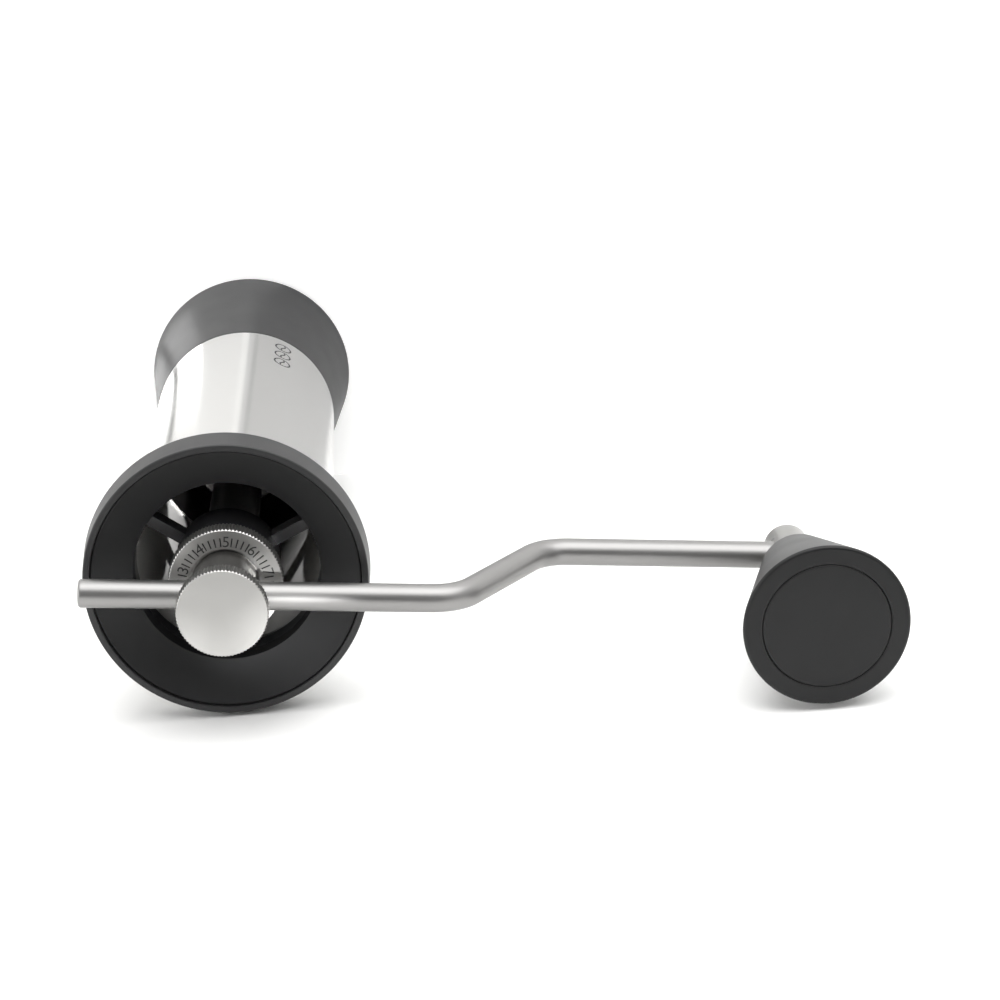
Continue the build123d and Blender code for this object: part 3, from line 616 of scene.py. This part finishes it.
finish(lathe("funnel_face", funnel_profile, 360), "body", "black_plastic", funnel_black, "funnel_insert")


# %% [markdown]
# ## Knurled pieces
# A knurling wheel presses pointed teeth into a turned edge, and the chamfers are cut afterwards,
# so each tooth runs out in a small triangle. The radius at an angle is the smaller of two: the
# turned profile's and the toothed outline's, which is a triangle wave round the edge.

# %% Clamp knob
KNURL_DEPTH = 0.45
CAP_TEETH = 80
CAP_EDGE = 0.45


def triangle_wave(angle, teeth):
    """0 at each tooth's tip and 1 at each valley, straight in between."""
    return 1 - np.abs((angle * teeth / np.pi) % 2 - 1)


def chamfer_rows(outer, edge, height, top, rows=5):
    """Points down a chamfer of the given width, from the face to the edge or the other way."""
    share = np.linspace(0, 1, rows)
    along = height - edge * share if top else height + edge * share
    return np.stack((outer - edge * (1 - share), along), axis=1)


def knurled_profile(outer, bottom, top, edge):
    """Half section of a knurled disc from its lower pole to its upper pole, in mm."""
    lower = chamfer_rows(outer, edge, bottom, False)
    upper = chamfer_rows(outer, edge, top, True)[::-1]
    inner = outer - edge - SUPPORT
    return np.vstack(((0, bottom), (inner, bottom), lower, upper, (inner, top), (0, top)))


def cap_relief(radius, height, angle):
    """Teeth round the clamp knob's edge."""
    return np.minimum(radius, CAP_R - KNURL_DEPTH * triangle_wave(angle, CAP_TEETH)), height


cap_profile = knurled_profile(CAP_R, CAP_BOTTOM, CAP_TOP, CAP_EDGE)
clamp_cap = lathe("clamp_cap", cap_profile, CAP_TEETH * 4, closed=False, relief=cap_relief)
finish(clamp_cap, "clamp", "turned_steel", turned_steel, "clamp_knob")

# %% [markdown]
# ## Adjusting dial
# The dial is knurled too. Its face is cut away round the axle's head, and forty ticks are engraved
# between ten numbers, ten divisions of 36 degrees shared in five. The number takes the place of
# every fifth tick. A tick is a strip of the face whose height drops by the depth of the cut, and
# the dropped faces take the colour of the dark enamel that fills it.

# %% Dial
DIAL_TEETH = 100
DIVISIONS = 50
NUMBERED = 10
DIAL_EDGE = 0.5
FIRST_MARK = math.pi / 2
TICK_WIDTH = 0.26
TICK_DEPTH = 0.25
TICK_INSET = 0.6       # tick's inner end to the recess
TICK_LENGTH = 2.6
END_SLOPE = 0.01       # a tick's end wall leans this far each way from its middle
END_MARGIN = 0.1
HEAD_WALL = 5.4        # wall of the axle's head beside the rod
RECESS_GAP = 1.0       # recess round the axle's head
RECESS_DEPTH = 1.8
BORE_INSET = 0.55      # the dial's bore is this much narrower than the spacer sleeve, in radius
RECESS_R = ROD_R + HEAD_WALL + RECESS_GAP
TICK_FROM = RECESS_R + TICK_INSET
TICK_TO = TICK_FROM + TICK_LENGTH
BORE_R = turned_size("spacer_sleeve")[0] - BORE_INSET


def dial_relief(radius, height, angle):
    """Teeth round the edge, and ticks cut into the face between two radii."""
    toothed = np.minimum(radius, DIAL_R - KNURL_DEPTH * triangle_wave(angle, DIAL_TEETH))
    step = 2 * np.pi / DIVISIONS
    off_mark = (angle - FIRST_MARK + step / 2) % step - step / 2
    number = np.round((angle - FIRST_MARK) / step)
    cut = (np.abs(off_mark) * radius < TICK_WIDTH / 2) & (number % (DIVISIONS // NUMBERED) != 0)
    cut = cut & (radius > TICK_FROM) & (radius < TICK_TO) & (height > DIAL_TOP - TICK_DEPTH)
    return toothed, height - TICK_DEPTH * cut


tick_rows = np.linspace(TICK_TO - END_MARGIN, TICK_FROM + END_MARGIN, 6)
face_rows = np.array([TICK_TO + END_SLOPE, TICK_TO - END_SLOPE, *tick_rows,
                      TICK_FROM + END_SLOPE, TICK_FROM - END_SLOPE])
dial_profile = np.vstack((
    (BORE_R, DIAL_BOTTOM), (DIAL_R - DIAL_EDGE - SUPPORT, DIAL_BOTTOM),
    chamfer_rows(DIAL_R, DIAL_EDGE, DIAL_BOTTOM, False),
    chamfer_rows(DIAL_R, DIAL_EDGE, DIAL_TOP, True)[::-1],
    (DIAL_R - DIAL_EDGE - SUPPORT, DIAL_TOP), np.stack((face_rows, face_rows * 0 + DIAL_TOP), axis=1),
    rounded_profile([(RECESS_R + TICK_INSET / 2, DIAL_TOP, 0), (RECESS_R, DIAL_TOP, 0.12),
                     (RECESS_R, DIAL_TOP - RECESS_DEPTH, 0.1), (BORE_R, DIAL_TOP - RECESS_DEPTH, 0)])))
dial = lathe("dial_ring", dial_profile, DIAL_TEETH * 8, relief=dial_relief)
finish(dial, "dial", "turned_steel", dial_steel_painted_lighter, "adjust_dial")
enamel, _, _ = new_material("enamel_dark_grey_fill", Base_Color=linear("2b2b2b"), Roughness=0.5)
dial_x, dial_y, dial_z = face_centres(dial)
reach = np.hypot(dial_x, dial_y)
filled = (reach > TICK_FROM) & (reach < TICK_TO) & (dial_z < DIAL_TOP - TICK_DEPTH / 4)
coat_faces(dial, filled, enamel)

# %% [markdown]
# The numbers are filled with the same dark enamel, level with the face. Each is a text object made
# into a mesh, a hair proud of the steel so that it shows, and is turned about the axis to its
# place. They run clockwise, with their tops outwards.

# %% Numbers on the dial
NUMBER_HEIGHT = 3.3
FONT_SIZE = 1.35       # for a digit of height 1
NUMBER_PROUD = 0.015
AT_REST = 5


def dial_number(digit):
    """Mesh of one digit, laid on the dial's face with its top away from the axis."""
    curve = bpy.data.curves.new(f"number_{digit}", "FONT")
    curve.body = str(digit)
    curve.align_x = "CENTER"
    curve.align_y = "CENTER"
    curve.size = NUMBER_HEIGHT * FONT_SIZE * MM
    curve.extrude = NUMBER_PROUD * MM
    text = bpy.data.objects.new(f"number_{digit}", curve)
    bpy.context.scene.collection.objects.link(text)
    bpy.context.view_layer.update()
    mesh = bpy.data.meshes.new_from_object(text)
    bpy.data.objects.remove(text)
    turn = FIRST_MARK - math.pi - (digit - AT_REST) * 2 * math.pi / NUMBERED
    reach = (TICK_FROM + TICK_TO) / 2 * MM
    place = Matrix.Rotation(turn - math.pi / 2, 4, "Z") @ Matrix.Translation((0, reach, DIAL_TOP * MM))
    mesh.transform(place)
    piece = bpy.data.objects.new(f"number_{digit}", mesh)
    bpy.context.scene.collection.objects.link(piece)
    return piece


for digit in range(NUMBERED):
    finish(dial_number(digit), "dial", "turned_steel", enamel)
print("ten numbers on the dial")


# %% [markdown]
# ## Crank rod
# The rod is one round bar with two bends of the same radius. A bend turns the bar's heading at a
# steady rate, so the heading is a simple function of the way along the bar, and the centre line
# is the sum of small steps in that heading. A circle is carried along it, square to the heading.

# %% Centre line of the rod
BEND_R = 14.0
BEND_START = 64.6      # axle to the first bend's corner
BEND_END = 91.6        # axle to the second bend's corner
END_ROUND = 0.8


def bar_line(spacing=1.0):
    """Way along, centre points and heading: the heading turns by s / R along each bend."""
    turn = math.atan2(CRANK_Z - LOW_ROD_Z, BEND_END - BEND_START)
    setback = BEND_R * math.tan(turn / 2)
    slope = math.hypot(CRANK_Z - LOW_ROD_Z, BEND_END - BEND_START)
    lengths = np.array([ROD_HIGH.x + BEND_START - setback, BEND_R * turn, slope - 2 * setback,
                        BEND_R * turn, -KNOB_X - BEND_END - setback])
    corners = lengths.cumsum()
    rounding = END_ROUND * (1 - np.cos(np.linspace(0, np.pi / 2, 7)))
    way = np.concatenate((rounding, np.linspace(1, corners[-1], round(corners[-1] / spacing))))
    bent = np.clip((way - corners[0]) / lengths[1], 0, 1) - np.clip((way - corners[2]) / lengths[3], 0, 1)
    heading = turn * bent
    middle = (heading[1:] + heading[:-1]) / 2
    steps = np.stack((-np.cos(middle), -np.sin(middle)), axis=1) * np.diff(way)[:, None]
    start = np.array([[ROD_HIGH.x, CRANK_Z]])
    return way, np.vstack((start, start + steps.cumsum(axis=0))), heading


way, centre_line, heading = bar_line()
print(f"bar {way[-1]:.1f} mm long, ends at x {centre_line[-1][0]:.2f}, z {centre_line[-1][1]:.2f}")

# %% Rod surface
RING_POINTS = 64


def crank_bar(name):
    """centre + r (cos b * up + sin b * Y): up is square to the heading, r shrinks at the free end."""
    radius = ROD_R - END_ROUND + np.sqrt(END_ROUND ** 2 - np.clip(END_ROUND - way, 0, None) ** 2)
    around = np.arange(RING_POINTS) * 2 * np.pi / RING_POINTS
    up = np.stack((-np.sin(heading), np.cos(heading)), axis=1)[:, None]
    ring = centre_line[:, None] + radius[:, None, None] * np.cos(around)[None, :, None] * up
    points = np.insert(ring, 1, radius[:, None] * np.sin(around), axis=2)
    first, last = (np.insert(np.repeat(centre_line[i][None, None], RING_POINTS, axis=1), 1, 0, axis=2)
                   for i in (0, -1))
    points = np.vstack((first, points, last)) * MM
    bar = grid_object(name, points)
    store_grain(bar)
    return bar


def store_grain(bar):
    """At each point, the direction round the bar and the way along it, for the lines to follow."""
    places = np.empty(len(bar.data.vertices) * 3, np.float32)
    bar.data.vertices.foreach_get("co", places)
    x, y, z = places.reshape(-1, 3).T / MM
    gap = np.hypot(x[:, None] - centre_line[:, 0], z[:, None] - centre_line[:, 1])
    nearest = gap.argmin(axis=1)
    above = (z - centre_line[nearest, 1]) * np.cos(heading[nearest])
    above -= (x - centre_line[nearest, 0]) * np.sin(heading[nearest])
    values = np.stack((above / ROD_R, y / ROD_R, way[nearest] * MM), axis=1)
    grain = bar.data.attributes.new("grain", "FLOAT_VECTOR", "POINT")
    grain.data.foreach_set("vector", values.astype(np.float32).ravel())


finish(crank_bar("crank_bar"), "crank", "rod_steel", rod_steel, "crank_rod")


# %% [markdown]
# ## Knob
# The knob is a moulded cone that grows towards its rounded top, where a disc closes it over the
# axle. Both edges of the joint between the two are rounded, so that it shows as a thin ring.

# %% Knob shell and its cap
KNOB_TAIL_R = 11.0
KNOB_EDGE = 0.9
CORNER_REACH = 0.27    # the sharp corner stands this far out of its rounding
GROOVE = 0.02
GROOVE_ROUND = 0.5
WELL_GAP = 1.5         # round the axle's head
KNOB_CAP_R, KNOB_CAP_BOTTOM, _ = turned_size("knob_end_cap")
BUSH_R, _, BUSH_TOP = turned_size("upper_knob_bush")
WELL_R = turned_size("knob_axle")[0] + WELL_GAP
shell_profile = rounded_profile([
    (BUSH_R, KNOB_BOTTOM, 0.2), (KNOB_TAIL_R, KNOB_BOTTOM, 1.0),
    (KNOB_R + CORNER_REACH, KNOB_TOP, KNOB_EDGE),
    (KNOB_CAP_R + GROOVE / 2, KNOB_TOP, GROOVE_ROUND), (KNOB_CAP_R + GROOVE / 2, KNOB_CAP_BOTTOM, 0.05),
    (WELL_R, KNOB_CAP_BOTTOM, 0.1), (WELL_R, BUSH_TOP, 0.1), (BUSH_R, BUSH_TOP, 0.1)], closed=True)
knob = lathe("knob_cone", shell_profile, centre_x=KNOB_X * MM)
finish(knob, "handle", "black_plastic", black_plastic, "knob_shell")
disc_r = KNOB_CAP_R - GROOVE / 2
disc_profile = rounded_profile([(0, KNOB_CAP_BOTTOM, 0), (disc_r, KNOB_CAP_BOTTOM, 0.1),
                                (disc_r, KNOB_TOP, GROOVE_ROUND), (0, KNOB_TOP, 0)])
knob_disc = lathe("knob_disc", disc_profile, centre_x=KNOB_X * MM, closed=False)
finish(knob_disc, "handle", "black_plastic", black_plastic, "knob_end_cap")


# %% [markdown]
# ## Etched motif
# A small mark is etched into the tube beside the cup. Here it is three coffee beans in a row up
# the tube. A stroke is a thin ribbon along a curve that is drawn flat, as way round the tube
# and height, and then wrapped on to it.

# %% Etched beans
etched, _, _ = new_material("stainless_etched_dark", Base_Color=linear("3a3a3a"), Metallic=0.6,
                            Roughness=0.55)
MOTIF_ANGLE = math.radians(-114.7)
BEAN_HEIGHT = 7.2
BEAN_WIDTH = 5.4
CREASE_SWAY = 0.7
CREASE_REACH = 0.78    # share of half the bean's height
STROKE = 0.55
STROKE_PROUD = 0.02
BEAN_CENTRES = (67.0, 76.0, 85.0)


def ribbon(name, across, upward):
    """Stroke of even width along a flat curve, wrapped on the tube at angle across / radius."""
    ahead = np.gradient(np.stack((across, upward), axis=1), axis=0)
    ahead /= np.linalg.norm(ahead, axis=1)[:, None]
    side = np.linspace(-STROKE / 2, STROKE / 2, 4)
    flat_x = across[:, None] - ahead[:, 1:] * side
    flat_z = upward[:, None] + ahead[:, :1] * side
    radius = TUBE_R + STROKE_PROUD
    angle = MOTIF_ANGLE + flat_x / radius
    points = np.stack((radius * np.cos(angle), radius * np.sin(angle), flat_z), axis=-1) * MM
    return grid_object(name, points, wrap_columns=False)


for number, centre in enumerate(BEAN_CENTRES):
    turn = np.linspace(0, 2 * np.pi, 49)
    outline = ribbon(f"bean_{number}_edge", BEAN_WIDTH / 2 * np.cos(turn),
                     centre + BEAN_HEIGHT / 2 * np.sin(turn))
    along = np.linspace(-CREASE_REACH, CREASE_REACH, 25)
    crease = ribbon(f"bean_{number}_crease", CREASE_SWAY * np.sin(along * np.pi),
                    centre + BEAN_HEIGHT / 2 * along)
    finish(outline, "body", "tube_steel", etched)
    finish(crease, "body", "tube_steel", etched)


# %% [markdown]
# ## Finishes of the carried-over solids
# The other pieces keep the engineering model's own surfaces. Each is given the finish that it
# would have: ground bearing rings, drawn springs, dark hardened burrs and blackened frames.

# %% Finishes by piece
frame_black = blasted_black("aluminium_black_anodised_frame", "222224", 0.3, 0.3, 0.005, 0.6)
burr_steel = worked_steel("tool_steel_ground_burr", "7d7c7a", 0.3, 0.25, 0.006)
screw_steel = worked_steel("stainless_screw_plain", "9c9b99", 0.3)
spring_steel = worked_steel("spring_steel_drawn", "8a8987", 0.3)
acetal, _, _ = new_material("acetal_natural", Base_Color=linear("e2ddd2"), Roughness=0.4)
brass_turned = worked_steel("brass_turned", "c9a45c", 0.25, 0.25, 0.004)

finishes = {
    rubber_black: ("foot_pad", "rim_seal", "spigot_seal"),
    frame_black: ("bearing_bridge", "burr_retainer"),
    inner_steel: ("burr_carrier", "detent_disc", "burr_washer", "thrust_washer"),
    bright_steel: ("cup_magnets", "axle_key", "detent_ball",
                   "upper_bearing_outer_ring", "upper_bearing_inner_ring", "upper_bearing_balls",
                   "lower_bearing_outer_ring", "lower_bearing_inner_ring", "lower_bearing_balls"),
    burr_steel: ("outer_burr", "inner_burr"),
    neck_steel: ("drive_axle", "spacer_sleeve"),
    spring_steel: ("preload_spring", "detent_spring"),
    screw_steel: ("rim_screws", "burr_screw", "clamp_stud", "post_grub_screw", "knob_axle"),
    post_steel: ("knob_post",),
    brass_turned: ("clamp_pad",),
    acetal: ("lower_knob_bush", "upper_knob_bush"),
}
for material, nodes in finishes.items():
    for node in nodes:
        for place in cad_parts[node].material_slots:
            place.material = material
print(sum(len(nodes) for nodes in finishes.values()), "solids finished")
